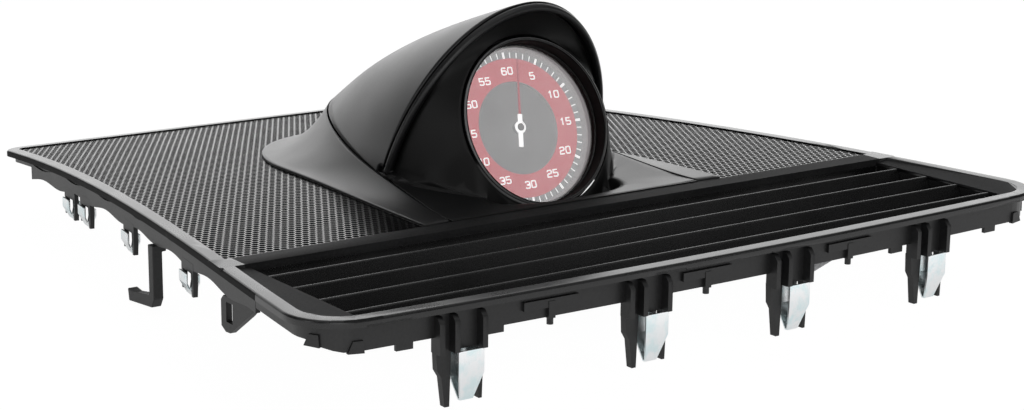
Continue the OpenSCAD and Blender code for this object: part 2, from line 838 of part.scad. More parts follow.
// One section of the base: edge, hollow flank, seam, underside and locating wall
wall_in = base_lap + 0.9;
wall_w = 2;
foot_gap = 0.03;
flank_rows = 5;
function flank_pt(o, s, v) =
  let(p = lerp(o, [s.x, s.y], v), edge = rim_t + crown(o.y) + 0.7)
  [p.x, p.y, edge + (s.z - edge)*pow(v, 1.7)];
function base_section(o, p1, p2, s) =
  let(
    run = [s.x, s.y] - o,
    seat = rim_t - mesh_drop + gap,
    v2 = (p2 - o)*run/(run*run)
  )
  concat(
    [for (i = [0:flank_rows]) flank_pt(o, s, i/flank_rows)],
    [for (i = [flank_rows:-1:2]) flank_pt(o, s, i/flank_rows) - [0, 0, base_t]],
    [
      flank_pt(o, s, v2) - [0, 0, base_t], [p2.x, p2.y, crown(p2.y) + foot_gap],
      [p1.x, p1.y, crown(p1.y) + foot_gap], [p1.x, p1.y, crown(p1.y) + seat], [o.x, o.y, crown(o.y) + seat]
    ]
  );
base_cap = [
  [4, 5, 6], [4, 6, 7], [3, 4, 7], [3, 7, 8], [2, 3, 8], [2, 8, 9], [2, 9, 10], [1, 2, 10], [1, 10, 13],
  [10, 11, 12], [10, 12, 13], [0, 1, 13], [0, 13, 14]
];
module hood_base() {
  half = base_half(0);
  wall_1 = base_half(wall_in);
  wall_2 = base_half(wall_in + wall_w);
  right = [for (i = [0:len(half) - 1]) base_section(half[i], wall_1[i], wall_2[i], seam_half[i])];
  left = [for (i = [len(half) - 2:-1:0]) [for (p = right[i]) [-p.x, p.y, p.z]]];
  color(black)
    skin(concat(right, left), base_cap);
}

// The liner: a funnel from the lip to the bezel over a flat floor, with a pocket round the clock
liner_steps = 72;
liner_rows = 5;
liner_t = 1.2;
liner_clear = 0.9;
liner_depth = 1.2;
pocket_half_w = 34.4;
pocket_from = base_y + 4.4;
pocket_to = bezel_y - 1;
pocket_bow = 15.7;
pocket_deep = 7;
function ease(t) = let(s = max(0, min(1, t))) s*s*(3 - 2*s);
function on_dial(p) = [
  p.x, bezel_y + p.y*sin(dial_tilt) - p.z*cos(dial_tilt), bezel_z + p.y*cos(dial_tilt) + p.z*sin(dial_tilt)
];
function liner_floor(w) = w < 0.62
  ? seam_front(0.95*(1 - w/0.62)) - [0.5, 0, 0.15]
  : [(floor_half_w - 0.5)*(1 - (w - 0.62)/0.38), floor_y, rim_t + 0.45];
function liner_edge(q) =
  q <= 180 ? hood_pt(lip_phi, max(2.5, min(177.5, q)), 2*lip_r + 0.3) - 0.6*lip_normal
  : liner_floor(q < 270 ? (q - 180)/90 : (360 - q)/90);
hole_r = bezel_r + liner_clear;
function liner_hole(q) = on_dial([hole_r*cos(q), hole_r*sin(q), -liner_depth]);
function flip(p, q) = q > 180 && q < 270 ? [-p.x, p.y, p.z] : p;

// The funnel at angle q, from the lip at row 0 to the bezel
function funnel_pt(q, j) =
  let(v = j/liner_rows, a = flip(liner_edge(q), q), c = liner_hole(q), k = 1.6 - 0.35*max(0, sin(q)))
  [lerp(a.x, c.x, pow(v, 1.8)), lerp(a.y, c.y, v), lerp(a.z, c.z, pow(v, k))];

// The floor and the pocket at angle q; w runs from the front to the side
function pocket_edge(w) =
  w < 0.54
  ? let(a = 90*w/0.54)
    [pocket_half_w*pow(sin(a), 0.8), pocket_from + pocket_bow - pocket_bow*pow(cos(a), 0.8)]
  : [pocket_half_w, lerp(pocket_from + pocket_bow, pocket_to, (w - 0.54)/0.46)];
function floor_rows(q, w) =
  let(
    c = flip(liner_hole(q), q),
    a = liner_edge(q), o = pocket_edge(w), rim = [max(o.x, c.x + 1.5), o.y, seam_height(o.y) - 0.15],
    side = ease((w - 0.45)/0.25),
    foot = [0.96*rim.x, o.y + 0.8, rim.z - pocket_deep*(1 - 0.8*side)],
    low = lerp(foot, c, 0.8)
  )
  [a, lerp(a, rim, 0.5), rim, foot, [low.x, low.y, lerp(min(foot.z, c.z) - 0.8, low.z, side)], c];
function floor_w(q) = abs(q - 270)/90;
function liner_pt(q, j) =
  q <= 180 ? funnel_pt(q, j)
  : let(w = floor_w(q)) lerp(flip(floor_rows(q, w)[j], q), funnel_pt(q, j), ease((w - 0.86)/0.14));

// The way from the liner's face to its back: square to the face, and along the bezel at the hole
liner_step = 360/liner_steps;
function liner_back(q, j) =
  let(
    along = liner_pt((q + liner_step) % 360, j) - liner_pt((q + 360 - liner_step) % 360, j),
    down = liner_pt(q, min(j + 1, liner_rows)) - liner_pt(q, max(j - 1, 0))
  )
  j == liner_rows ? on_dial([0, 0, -liner_t]) - on_dial([0, 0, 0])
  : (j == 0 ? 0.25 : 1)*liner_t*unit(cross(down, along));
module hood_liner() {
  color(dark)
    skin([
      for (i = [0:liner_steps - 1])
        let(q = i*liner_step)
          concat(
            [for (j = [0:liner_rows]) liner_pt(q, j)],
            [for (j = [liner_rows:-1:0]) liner_pt(q, j) + liner_back(q, j)]
          )
    ]);
}

// The carrier plate under the hood, with a cradle for the clock and posts for the shell
well_from = base_y + 3;
well_to = 188;
well_side = 11;
cheek_t = 2.6;
pad_out = 2;
cheek_x = case_r + pad_out + gap;
cheek_from = 153;
cheek_to = 176;
cheek_h = 28;
carrier_screw_x = [-70, -24, 24, 70];
screw_r = 1.5;
module pod_carrier() {
  color(black)
    difference() {
      union() {
        on_crown(0, -carrier_t)
          difference() {
            base_2d(0, strip_y + well_t + gap);
            translate([-cheek_x, well_from])
              square([2*cheek_x, well_to - well_from]);
            translate([-cheek_x - well_side, well_from])
              square([2*cheek_x + 2*well_side, cheek_from - 4 - well_from]);
          }
        for (s = [-1, 1])
          translate([s > 0 ? cheek_x : -cheek_x - cheek_t, cheek_from, -carrier_t])
            cube([cheek_t, cheek_to - cheek_from, cheek_h + carrier_t]);
      }
      for (x = carrier_screw_x)
        translate([x, strip_y + strip_w/2 + 1, -carrier_t - 1])
          cylinder(r = screw_r, h = carrier_t + 2);
      for (s = [-1, 1])
        translate(on_dial([s*(cheek_x - 1), 0, pad_z]))
          rotate([0, 90*s, 0])
            cylinder(r = screw_r, h = cheek_t + 2);
      for (p = post_at, s = [-1, 1])
        translate([s*p.x, p.y, crown(p.y) - carrier_t - 1])
          cylinder(r = screw_r, h = carrier_t + 2);
    }
}

// Posts that stand on the carrier and reach up to the inside of the shell
post_at = [[32, 200], [20, 250]];
post_r = 3.6;
post_bite = 7;
function hood_under(x, y) =
  rim_t + crown(y) + (hood_top(y) - hood_t - rim_t - crown(y))*sqrt(1 - pow(x/(hood_w(y) - hood_t), 2));
module shell_posts() {
  color(black)
    for (p = post_at, s = [-1, 1])
      translate([s*p.x, p.y, crown(p.y - post_r) + foot_gap])
        difference() {
          cylinder(r = post_r, h = hood_under(p.x + post_r, p.y + post_r) - 0.6 - crown(p.y - post_r));
          translate([0, 0, -1])
            cylinder(r = screw_r - 0.2, h = post_bite + 3);
        }
}

module shell_screws() {
  color(steel)
    for (p = post_at, s = [-1, 1])
      translate([s*p.x, p.y, crown(p.y + 3) - carrier_t - gap])
        mirror([0, 0, 1])
          screw(screw_r - 0.2 - eps, carrier_t + post_bite, 2.8, 1.6);
}

// A pan-head screw along -Z, its head above Z = 0
module screw(r, length, head_r, head_h) {
  translate([0, 0, -length])
    cylinder(r = r, h = length);
  difference() {
    cylinder(r = head_r, h = head_h);
    for (a = [0, 90])
      rotate(a)
        translate([-head_r*0.6, -0.3, head_h*0.5])
          cube([head_r*1.2, 0.6, head_h]);
  }
}

module carrier_screws() {
  color(steel)
    for (x = carrier_screw_x)
      translate([x, strip_y + strip_w/2 + 1, -carrier_t - gap])
        mirror([0, 0, 1])
          screw(screw_r - gap, carrier_t, 2.8, 1.6);
}

// Everything on the dial's axis stands in the bezel's own frame, Z = 0 at its front edge
module dial_frame() {
  translate([0, bezel_y, bezel_z])
    rotate([90 - dial_tilt, 0, 0])
      children();
}

module turned(pts) {
  rotate_extrude($fn = 128)
    polygon(pts);
}

bezel_in = bezel_r - bezel_t;
ledge_in = bezel_in - 1;
flange_back = -bezel_h - flange_t;
module clock_bezel() {
  color(dark)
    dial_frame()
      turned([
        [bezel_in, -0.6], [bezel_in + 0.5, 0], [bezel_r - 0.6, 0], [bezel_r, -0.6], [bezel_r, -bezel_h],
        [case_r, -bezel_h], [case_r, flange_back], [ledge_in, flange_back], [ledge_in, -bezel_h],
        [bezel_in, -bezel_h]
      ]);
}

module lens() {
  color([0.8, 0.86, 0.9, 0.35])
    dial_frame()
      translate([0, 0, -bezel_h])
        cylinder(r = bezel_in - run_gap, h = lens_t, $fn = 128);
}

rehaut_back = flange_back - rehaut_h;
case_in = case_r - case_t;
module rehaut() {
  color(grey)
    dial_frame()
      turned([
        [ledge_in + 0.2, flange_back], [case_in - gap, flange_back], [case_in - gap, rehaut_back],
        [ledge_in - 0.6, rehaut_back]
      ]);
}

dial_back = rehaut_back - dial_t;
module dial_plate() {
  color(grey)
    dial_frame()
      turned([
        [ring_in_r, rehaut_back], [case_in - gap, rehaut_back], [case_in - gap, dial_back],
        [ring_in_r, dial_back]
      ]);
}

module dial_ring() {
  color(red)
    dial_frame()
      turned([
        [ring_in_r, rehaut_back], [ring_r, rehaut_back], [ring_r, rehaut_back + ring_t],
        [ring_in_r, rehaut_back + ring_t]
      ]);
}

center_t = 1.2;
center_back = dial_back - center_t;
bush_r = 2.2;
module dial_center() {
  color(grey)
    dial_frame()
      turned([
        [bush_r + gap, dial_back], [ring_in_r + 2.5, dial_back], [ring_in_r + 2.5, center_back],
        [bush_r + gap, center_back]
      ]);
}

hand_z = rehaut_back + ring_t + hand_gap;
stub_len = 3.2;
tail_len = 6.2;
hand_w = 2;
module hand_ring() {
  color("white")
    dial_frame()
      rotate(-hand_turn)
        translate([0, 0, hand_z])
          difference() {
            union() {
              cylinder(r = hub_r, h = hand_t);
              translate([-hand_w/2, boss_r + 0.3, 0])
                cube([hand_w, hub_r - boss_r - 0.3 + stub_len, hand_t]);
              translate([-hand_w/2, -hub_r - tail_len, 0])
                cube([hand_w, tail_len + hub_r - boss_r - 0.3, hand_t]);
            }
            translate([0, 0, -1])
              cylinder(r = boss_r, h = hand_t + 2);
          }
}

module hand_pointer() {
  needle_from = hub_r + stub_len;
  color(red)
    dial_frame()
      rotate(-hand_turn)
        translate([0, 0, hand_z])
          linear_extrude(hand_t)
            polygon([[-0.5, needle_from], [0.5, needle_from], [0.25, needle_len], [-0.25, needle_len]]);
}

module hand_boss() {
  color(dark)
    dial_frame()
      translate([0, 0, hand_z - 0.3])
        difference() {
          cylinder(r = boss_r, h = hand_t + 0.5);
          translate([0, 0, -1])
            cylinder(r = arbor_r, h = hand_t + 1);
        }
}

// Involute spur gear with one tooth centred on +X
pressure = 20;
function involute(rb, a) = rb*[cos(a) + a*PI/180*sin(a), sin(a) - a*PI/180*cos(a)];
function inv_angle(a) = tan(a) - a*PI/180;
function turn2(p, a) = [p.x*cos(a) - p.y*sin(a), p.x*sin(a) + p.y*cos(a)];
function tooth(teeth) =
  let(
    r = gear_m*teeth/2, rb = r*cos(pressure), tip = r + 0.8*gear_m, root = r - 1.05*gear_m,
    half = 90/teeth - backlash/2/r*180/PI + inv_angle(pressure)*180/PI,
    a_end = sqrt(pow(tip/rb, 2) - 1)*180/PI,
    flank = [for (k = [0:3]) turn2(involute(rb, a_end*k/3), -half)]
  )
  concat(
    [root*[cos(-half), sin(-half)]], flank,
    [for (i = [3:-1:0]) [flank[i].x, -flank[i].y]], [root*[cos(half), sin(half)]]
  );
module gear_2d(teeth) {
  polygon([for (i = [0:teeth - 1]) each [for (p = tooth(teeth)) turn2(p, 360*i/teeth)]]);
}

wheel_teeth = 42;
pinion_teeth = 14;
gear_dist = gear_m*(wheel_teeth + pinion_teeth)/2;
idler_at = [0, -gear_dist];
rotor_at = [-gear_dist, -gear_dist];
layer_gap = 0.5;
wheel_a = center_back - 3.4;
wheel_b = wheel_a - wheel_t - layer_gap;
plate_t = 1.4;
plate_z = wheel_b - wheel_t - layer_gap;
board_t = 1.6;
board_z = plate_z - plate_t - 0.8;
arbor_end = plate_z - plate_t;
module output_wheel() {
  color(steel)
    dial_frame() {
      translate([0, 0, wheel_a - wheel_t])
        linear_extrude(wheel_t)
          gear_2d(wheel_teeth);
      translate([0, 0, arbor_end])
        cylinder(r = arbor_r, h = hand_z - arbor_end + hand_t - 0.3);
    }
}

pin_r = 0.5;
module idler_wheel() {
  color([0.9, 0.88, 0.8])
    dial_frame()
      translate([idler_at.x, idler_at.y, 0])
        difference() {
          union() {
            translate([0, 0, wheel_b - wheel_t])
              linear_extrude(wheel_t)
                gear_2d(wheel_teeth);
            translate([0, 0, wheel_b - eps])
              linear_extrude(wheel_t + layer_gap + eps)
                rotate(90)
                  gear_2d(pinion_teeth);
          }
          translate([0, 0, plate_z - 5])
            cylinder(r = pin_r + run_gap, h = 20);
        }
}

module rotor() {
  color([0.25, 0.25, 0.27])
    dial_frame()
      translate([rotor_at.x, rotor_at.y, 0])
        difference() {
          union() {
            translate([0, 0, wheel_b - wheel_t])
              linear_extrude(wheel_t + layer_gap)
                rotate(180/pinion_teeth)
                  gear_2d(pinion_teeth);
            translate([0, 0, wheel_b + layer_gap - eps])
              cylinder(r = magnet_r, h = cover_z - layer_gap - wheel_b - layer_gap);
          }
          translate([0, 0, plate_z - 5])
            cylinder(r = pin_r + run_gap, h = 20);
        }
}

cover_z = wheel_a + 1;
module gear_pins() {
  color(steel)
    dial_frame()
      for (p = [idler_at, rotor_at])
        translate([p.x, p.y, plate_z])
          cylinder(r = pin_r, h = cover_z - plate_z);
}

module arbor_bush() {
  color([0.75, 0.6, 0.3])
    dial_frame()
      turned([
        [arbor_r + run_gap, dial_back + 0.6], [bush_r, dial_back + 0.6], [bush_r, cover_z],
        [arbor_r + run_gap, cover_z]
      ]);
}

move_x = [-26, 14];
move_y = [-28, 14];
move_wall = 1.4;
module move_2d(d) {
  intersection() {
    translate([move_x[0] + d, move_y[0] + d])
      square([move_x[1] - move_x[0] - 2*d, move_y[1] - move_y[0] - 2*d]);
    circle(r = case_in - 0.5 - d, $fn = 128);
  }
}

module movement_plate() {
  color([0.85, 0.85, 0.8])
    dial_frame()
      translate([0, 0, plate_z - plate_t])
        linear_extrude(plate_t)
          difference() {
            move_2d(0);
            circle(r = arbor_r + run_gap);
          }
}

module movement_cover() {
  color([0.9, 0.9, 0.86])
    dial_frame()
      difference() {
        translate([0, 0, plate_z])
          linear_extrude(cover_z - plate_z + move_wall)
            move_2d(0);
        translate([0, 0, plate_z - 1])
          linear_extrude(cover_z - plate_z + 1)
            move_2d(move_wall);
        translate([0, 0, cover_z - 1])
          cylinder(r = bush_r + gap, h = move_wall + 2);
      }
}

module stator_coils() {
  coil_r = 2.2;
  coil_len = 8;
  color([0.72, 0.4, 0.2])
    dial_frame()
      for (y = [-6.5, -25 + coil_r])
        translate([move_x[0] + move_wall + 0.6, y + 0.3, (plate_z + cover_z)/2])
          rotate([0, 90, 0])
            cylinder(r = coil_r, h = coil_len);
}

module light_guide() {
  color([0.9, 0.95, 1, 0.5])
    dial_frame()
      turned([
        [ring_in_r + 3, dial_back], [case_in - gap, dial_back], [case_in - gap, dial_back - 2],
        [ring_in_r + 3, dial_back - 2]
      ]);
}

led_count = 6;
led_ring = 33;
module leds() {
  color([1, 0.98, 0.85])
    dial_frame()
      for (i = [0:led_count - 1])
        rotate(360*(i + 0.5)/led_count)
          translate([led_ring - 1.5, -1.5, board_z])
            cube([3, 3, 1.2]);
}

module circuit_board() {
  color([0.1, 0.35, 0.18])
    dial_frame()
      translate([0, 0, board_z - board_t])
        cylinder(r = case_in - 2*gap, h = board_t, $fn = 128);
}

case_back = flange_back - case_h;
pad_z = case_back + 9;
boss_ring = case_in - 2.6;
cover_screws = 3;
module clock_case() {
  color(dark)
    dial_frame()
      difference() {
        union() {
          turned([[case_in, flange_back], [case_r, flange_back], [case_r, case_back], [case_in, case_back]]);
          for (i = [0:cover_screws - 1])
            rotate(90 + 360*i/cover_screws)
              translate([boss_ring, 0, case_back])
                difference() {
                  cylinder(r = 3, h = board_z - board_t - gap - case_back);
                  translate([0, 0, -1])
                    cylinder(r = screw_r - 0.2, h = 8);
                }
          for (s = [-1, 1])
            translate([s > 0 ? case_in + 0.3 : -case_r - pad_out, -7, pad_z - 5])
              cube([case_r + pad_out - case_in - 0.3, 14, 10]);
        }
        for (s = [-1, 1])
          translate([s*(case_r + pad_out + 1), 0, pad_z])
            rotate([0, -90*s, 0])
              cylinder(r = screw_r - 0.2, h = pad_out + 1.5);
      }
}

plug_w = 16;
plug_h = 9;
plug_at = -14;
module back_cover() {
  color(dark)
    dial_frame()
      translate([0, 0, case_back - cover_t])
        difference() {
          cylinder(r = case_r, h = cover_t, $fn = 128);
          translate([-plug_w/2 - gap, plug_at - plug_h/2 - gap, -1])
            cube([plug_w + 2*gap, plug_h + 2*gap, cover_t + 2]);
          for (i = [0:cover_screws - 1])
            rotate(90 + 360*i/cover_screws)
              translate([boss_ring, 0, -1])
                cylinder(r = screw_r, h = cover_t + 2);
        }
}

plug_out = 8;
plug_wall = 1.2;
module connector() {
  top = board_z - board_t;
  color([0.15, 0.15, 0.16])
    dial_frame()
      translate([-plug_w/2, plug_at - plug_h/2, case_back - cover_t - plug_out])
        difference() {
          cube([plug_w, plug_h, top - case_back + cover_t + plug_out]);
          translate([plug_wall, plug_wall, -1])
            cube([plug_w - 2*plug_wall, plug_h - 2*plug_wall, plug_out + 1]);
        }
}

pin_count = 4;
module connector_pins() {
  color([0.8, 0.66, 0.3])
    dial_frame()
      for (i = [0:pin_count - 1])
        translate([(i - (pin_count - 1)/2)*3 - 0.4, plug_at - 0.4, case_back - cover_t - plug_out + 1.5])
          cube([0.8, 0.8, plug_out - 1.5]);
}

module case_screws() {
  color(steel)
    dial_frame()
      for (i = [0:cover_screws - 1])
        rotate(90 + 360*i/cover_screws)
          translate([boss_ring, 0, case_back - cover_t])
            mirror([0, 0, 1])
              screw(screw_r - 0.2 - eps, cover_t + 5, 2.7, 1.6);
}

module clock_screws() {
  color(steel)
    for (s = [-1, 1])
      translate(on_dial([s*(cheek_x + cheek_t), 0, pad_z]))
        rotate([0, 90*s, 0])
          screw(screw_r - 0.2 - eps, cheek_t + pad_out, 2.8, 1.6);
}

trim_frame();
mesh_sheet();
vent_well();
vent_slats();
front_rail();
left_rail();
right_rail();
rear_rail();
front_clips();
side_clips();
hooks();
slotted_brackets();
felt_tab();
pod_carrier();
carrier_screws();
shell_posts();
shell_screws();
hood_base();
hood_shell();
hood_lip();
hood_liner();
clock_bezel();
lens();
rehaut();
dial_plate();
dial_ring();
dial_center();
hand_ring();
hand_pointer();
hand_boss();
output_wheel();
idler_wheel();
rotor();
gear_pins();
arbor_bush();
movement_plate();
movement_cover();
stator_coils();
light_guide();
leds();
circuit_board();
clock_case();
back_cover();
connector();
connector_pins();
case_screws();
clock_screws();
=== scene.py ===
import math

import bmesh
import bpy
from mathutils import Matrix, Vector
from mathutils.bvhtree import BVHTree


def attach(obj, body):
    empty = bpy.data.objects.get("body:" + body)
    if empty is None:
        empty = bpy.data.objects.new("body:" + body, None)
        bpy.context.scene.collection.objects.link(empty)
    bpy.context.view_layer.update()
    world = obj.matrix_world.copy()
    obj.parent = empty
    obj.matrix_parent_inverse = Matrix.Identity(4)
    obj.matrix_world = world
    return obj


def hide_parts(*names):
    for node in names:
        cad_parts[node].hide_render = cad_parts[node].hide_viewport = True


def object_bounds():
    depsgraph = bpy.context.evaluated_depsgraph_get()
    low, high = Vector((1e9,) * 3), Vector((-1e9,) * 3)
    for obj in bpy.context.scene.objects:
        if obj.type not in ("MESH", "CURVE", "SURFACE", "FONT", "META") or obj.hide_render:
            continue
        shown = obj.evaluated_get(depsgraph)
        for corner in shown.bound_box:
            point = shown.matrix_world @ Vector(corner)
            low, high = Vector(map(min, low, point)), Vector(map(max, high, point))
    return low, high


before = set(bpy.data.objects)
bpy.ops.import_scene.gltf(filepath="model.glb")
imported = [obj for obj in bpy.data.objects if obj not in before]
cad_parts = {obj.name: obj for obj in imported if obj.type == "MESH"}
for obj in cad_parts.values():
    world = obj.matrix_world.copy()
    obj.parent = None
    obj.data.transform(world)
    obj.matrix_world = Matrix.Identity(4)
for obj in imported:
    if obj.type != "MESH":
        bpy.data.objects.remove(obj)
cad_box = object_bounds()


# The camera stands to the left of the panel and a little above it, with a long lens, as for
# a picture of the part on a white table.
heading, dip, roll = math.radians(35.81), math.radians(13.80), math.radians(0.58)
camera = bpy.data.objects.new("camera", bpy.data.cameras.new("camera"))
camera.data.sensor_width = 36
camera.data.lens = 75.66
camera.data.shift_x = 0.29 / 1024
camera.data.clip_start = 0.01
camera.matrix_world = (
    Matrix.Translation((-0.549164, -0.611142, 0.221433))
    @ Matrix.Rotation(-heading, 4, "Z")
    @ Matrix.Rotation(math.pi / 2 - dip, 4, "X")
    @ Matrix.Rotation(roll, 4, "Z")
)
bpy.context.collection.objects.link(camera)
bpy.context.scene.camera = camera
bpy.context.scene.view_settings.view_transform = "Standard"


# The studio: a white room, bright behind the part and dim behind the camera, so that black
# plastic shows its shape in long soft reflections. Four soft lamps light the front and left.
class Wire:
    """One socket of a node tree; arithmetic on it adds Math nodes."""

    def __init__(self, tree, socket=None):
        self.tree = tree
        self.socket = socket

    def node(self, kind, settings=None, sockets=None, out=0):
        made = self.tree.nodes.new(kind)
        for name, value in (settings or {}).items():
            setattr(made, name, value)
        for name, value in (sockets or {}).items():
            if isinstance(value, Wire):
                value.feed(made.inputs[name])
            else:
                made.inputs[name].default_value = value
        return Wire(self.tree, made.outputs[out])

    def feed(self, target):
        self.tree.links.new(self.socket, target)

    def maths(self, operation, first, second=0.0):
        return self.node("ShaderNodeMath", {"operation": operation}, {0: first, 1: second})

    def __add__(self, other):
        return self.maths("ADD", self, other)

    def __sub__(self, other):
        return self.maths("SUBTRACT", self, other)

    def __rsub__(self, other):
        return self.maths("SUBTRACT", other, self)

    def __mul__(self, other):
        return self.maths("MULTIPLY", self, other)

    __radd__ = __add__
    __rmul__ = __mul__

    def part(self, axis):
        return self.node("ShaderNodeSeparateXYZ", None, {0: self}, axis)

    def ease(self, low, high, start=0.0, end=1.0):
        return self.node(
            "ShaderNodeMapRange", {"interpolation_type": "SMOOTHSTEP"},
            {"Value": self, "From Min": low, "From Max": high, "To Min": start, "To Max": end},
        )

    def blend(self, first, second):
        return self.node("ShaderNodeMix", {"data_type": "RGBA"}, {0: self, 6: first, 7: second}, 2)

    def noise(self, scale, detail):
        return self.node(
            "ShaderNodeTexNoise", None, {"Vector": self, "Scale": scale, "Detail": detail},
        )

    def bump(self, strength, distance):
        return self.node(
            "ShaderNodeBump", None, {"Strength": strength, "Distance": distance, "Height": self},
        )


dim_light, back_light, overhead_light = 0.06, 1.9, 0.6
room = bpy.data.worlds.new("studio")
bpy.context.scene.world = room
room.use_nodes = True
wire = Wire(room.node_tree)
toward = wire.node("ShaderNodeTexCoord", out="Generated")
behind = wire.node(
    "ShaderNodeVectorMath", {"operation": "DOT_PRODUCT"},
    {0: toward, 1: (math.sin(heading), math.cos(heading), 0.0)}, "Value",
)
room_light = dim_light + wire.maths(
    "MAXIMUM", behind.ease(0.4, 1.0, 0.0, back_light),
    toward.part("Z").ease(0.6, 0.95, 0.0, overhead_light),
)
seen = wire.node("ShaderNodeLightPath", out="Is Camera Ray")
backdrop = room.node_tree.nodes["Background"]
backdrop.inputs["Color"].default_value = (1, 1, 1, 1)
(room_light * (1 - seen) + seen).feed(backdrop.inputs["Strength"])
for lamp_name, place, aim, size, power in (
    ("softbox_front", (0.15, -1.20, 1.10), (0, 0.13, 0.03), 0.5, 2.5),
    ("card_right", (0.795, -0.902, 0.544), (0, 0.13, 0.03), 0.28, 0.4),
    ("card_left", (-1.35, 0.05, 0.40), (0, 0.15, 0.04), 0.5, 1.4),
    ("card_front", (-0.90, -1.10, 0.25), (0, 0.15, 0.04), 0.9, 5.0),
):
    lamp = bpy.data.objects.new(lamp_name, bpy.data.lights.new(lamp_name, "AREA"))
    lamp.data.size = size
    lamp.data.energy = power
    lamp.location = place
    lamp.rotation_euler = (Vector(aim) - Vector(place)).to_track_quat("-Z", "Y").to_euler()
    bpy.context.collection.objects.link(lamp)


# The floor: a plain white table top just under the prongs. It looks white to the camera and,
# away from the part, to whatever mirrors it; near the part it mirrors darker, a painted
# shadow. It also keeps the part's soft shadow.
def object_from(name, bm):
    mesh = bpy.data.meshes.new(name)
    bm.to_mesh(mesh)
    bm.free()
    made = bpy.data.objects.new(name, mesh)
    bpy.context.collection.objects.link(made)
    return made


floor_gap = 0.0005
floor_place = Matrix.Translation((0, 0, cad_box[0].z - floor_gap))
bm = bmesh.new()
bmesh.ops.create_grid(bm, x_segments=1, y_segments=1, size=4.0, matrix=floor_place)
table_top = object_from("table_top", bm)
table_white = bpy.data.materials.new("table_white")
table_white.use_nodes = True
wire = Wire(table_white.node_tree)
paper = wire.node("ShaderNodeBsdfDiffuse", None, {"Color": (0.9, 0.9, 0.9, 1)})
glow = wire.node("ShaderNodeEmission", None, {"Color": (1, 1, 1, 1), "Strength": 1.05})
looked_at = wire.node("ShaderNodeLightPath", out="Is Camera Ray")
mirrored = wire.node("ShaderNodeLightPath", out="Is Glossy Ray")
place = wire.node("ShaderNodeTexCoord", out="Object")
# Painted shadow: the floor gives less light to mirrors near the part than far from it.
aside = wire.maths("ABSOLUTE", place.part("X")) - 0.19
ahead = wire.maths("ABSOLUTE", place.part("Y") - 0.195) - 0.197
painted_shade_falloff = wire.maths("MAXIMUM", aside, ahead).ease(-0.03, 0.09, 0.45, 0.95)
shown = 0.93 * looked_at + painted_shade_falloff * mirrored
surface = wire.node("ShaderNodeMixShader", None, {0: shown, 1: paper, 2: glow})
surface.feed(table_white.node_tree.nodes["Material Output"].inputs["Surface"])
table_top.data.materials.append(table_white)


# The trim frame: the rim round the panel, the cross strip and the sloped bands beside the
# vent, one satin black moulding with a fine grain. Its outer edge is well rounded, the strip
# and bands are duller, and its outer sides at left and right are painted near-black: a painted shadow
# for the dark gap under the rim.
def cad_copy(node):
    bm = bmesh.new()
    bm.from_mesh(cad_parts[node].data)
    bmesh.ops.remove_doubles(bm, verts=bm.verts, dist=2e-6)
    return bm


def sharp_edges(bm, angle=32):
    limit = math.radians(angle)
    return [edge for edge in bm.edges if len(edge.link_faces) == 2 and edge.calc_face_angle() > limit]


def round_off(bm, edges, width, segments=2):
    bmesh.ops.bevel(
        bm, geom=edges, offset=width, offset_type="OFFSET", segments=segments, profile=0.5,
        affect="EDGES", material=-1, clamp_overlap=True,
    )


def cut(bm, point, normal, clear_outer=False):
    bmesh.ops.bisect_plane(
        bm, geom=bm.verts[:] + bm.edges[:] + bm.faces[:], dist=1e-6,
        plane_co=point, plane_no=normal, clear_outer=clear_outer,
    )


def fit(piece, material, nodes=(), body="panel"):
    for face in piece.data.polygons:
        face.use_smooth = True
    piece.data.materials.append(material)
    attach(piece, body)
    if nodes:
        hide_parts(*nodes)
    return piece


def even_shading(piece, angle=38):
    piece.data.set_sharp_from_angle(angle=math.radians(angle))
    weighted = piece.modifiers.new("even_shading", "WEIGHTED_NORMAL")
    weighted.keep_sharp = True
    weighted.weight = 80
    return piece


def blank_finish(name):
    finish = bpy.data.materials.new(name)
    finish.use_nodes = True
    wire = Wire(finish.node_tree)
    place = wire.node("ShaderNodeTexCoord", out="Object")
    return finish, finish.node_tree.nodes["Principled BSDF"].inputs, place


def two_shades(colour, spread):
    return [[min(1.0, c * (1 + k)) for c in colour] + [1] for k in (-spread, spread)]


def moulding(name, colour, roughness, grain=0.0004, depth=0.00002, mottle=0.25, shine=0.5):
    finish, inputs, place = blank_finish(name)
    cells = place.node(
        "ShaderNodeTexVoronoi", {"feature": "F1"}, {"Vector": place, "Scale": 1 / grain}, "Distance",
    )
    cloud, dust = place.noise(38.0, 4.0), place.noise(900.0, 2.0)
    shade = (0.55 * cloud + 0.45 * dust).ease(0.35, 0.65)
    shade.blend(*two_shades(colour, mottle)).feed(inputs["Base Color"])
    (roughness - 0.06 + 0.12 * cloud + 0.06 * cells).feed(inputs["Roughness"])
    (cells * 0.8 + dust * 0.4).bump(0.5, depth).feed(inputs["Normal"])
    inputs["Specular IOR Level"].default_value = shine
    return finish


trim_black = moulding("trim_black", (0.010, 0.010, 0.0105), 0.26, 0.0005)
strip_black = moulding("strip_black", (0.020, 0.020, 0.0205), 0.58, 0.0005, 0.00003, shine=0.04)
shade_and_lens_edge_black = moulding("shade_and_lens_edge_black", (0.003, 0.003, 0.0032), 0.6, 0.0005, 0.00001, shine=0.1)
strip_front, strip_back, strip_half_w = 0.0890, 0.1003, 0.169
rim_rounding = 0.0011
panel_middle = Vector((0, 0.19, 0))
bm = cad_copy("trim_frame")
outer = []
for edge in sharp_edges(bm):
    top = [face for face in edge.link_faces if face.normal.z > 0.9]
    side = [face for face in edge.link_faces if abs(face.normal.z) < 0.3]
    spot = (edge.verts[0].co + edge.verts[1].co) / 2 - panel_middle
    beside_strip = -0.105 < spot.y < -0.085
    if top and side and side[0].normal.xy.dot(spot.xy) > 0 and not beside_strip:
        outer.append(edge)
round_off(bm, outer, rim_rounding, 4)
for y in (strip_front, strip_back):
    cut(bm, (0, y, 0), (0, 1, 0))
for x in (strip_half_w, -strip_half_w):
    cut(bm, (x, 0, 0), (1, 0, 0))
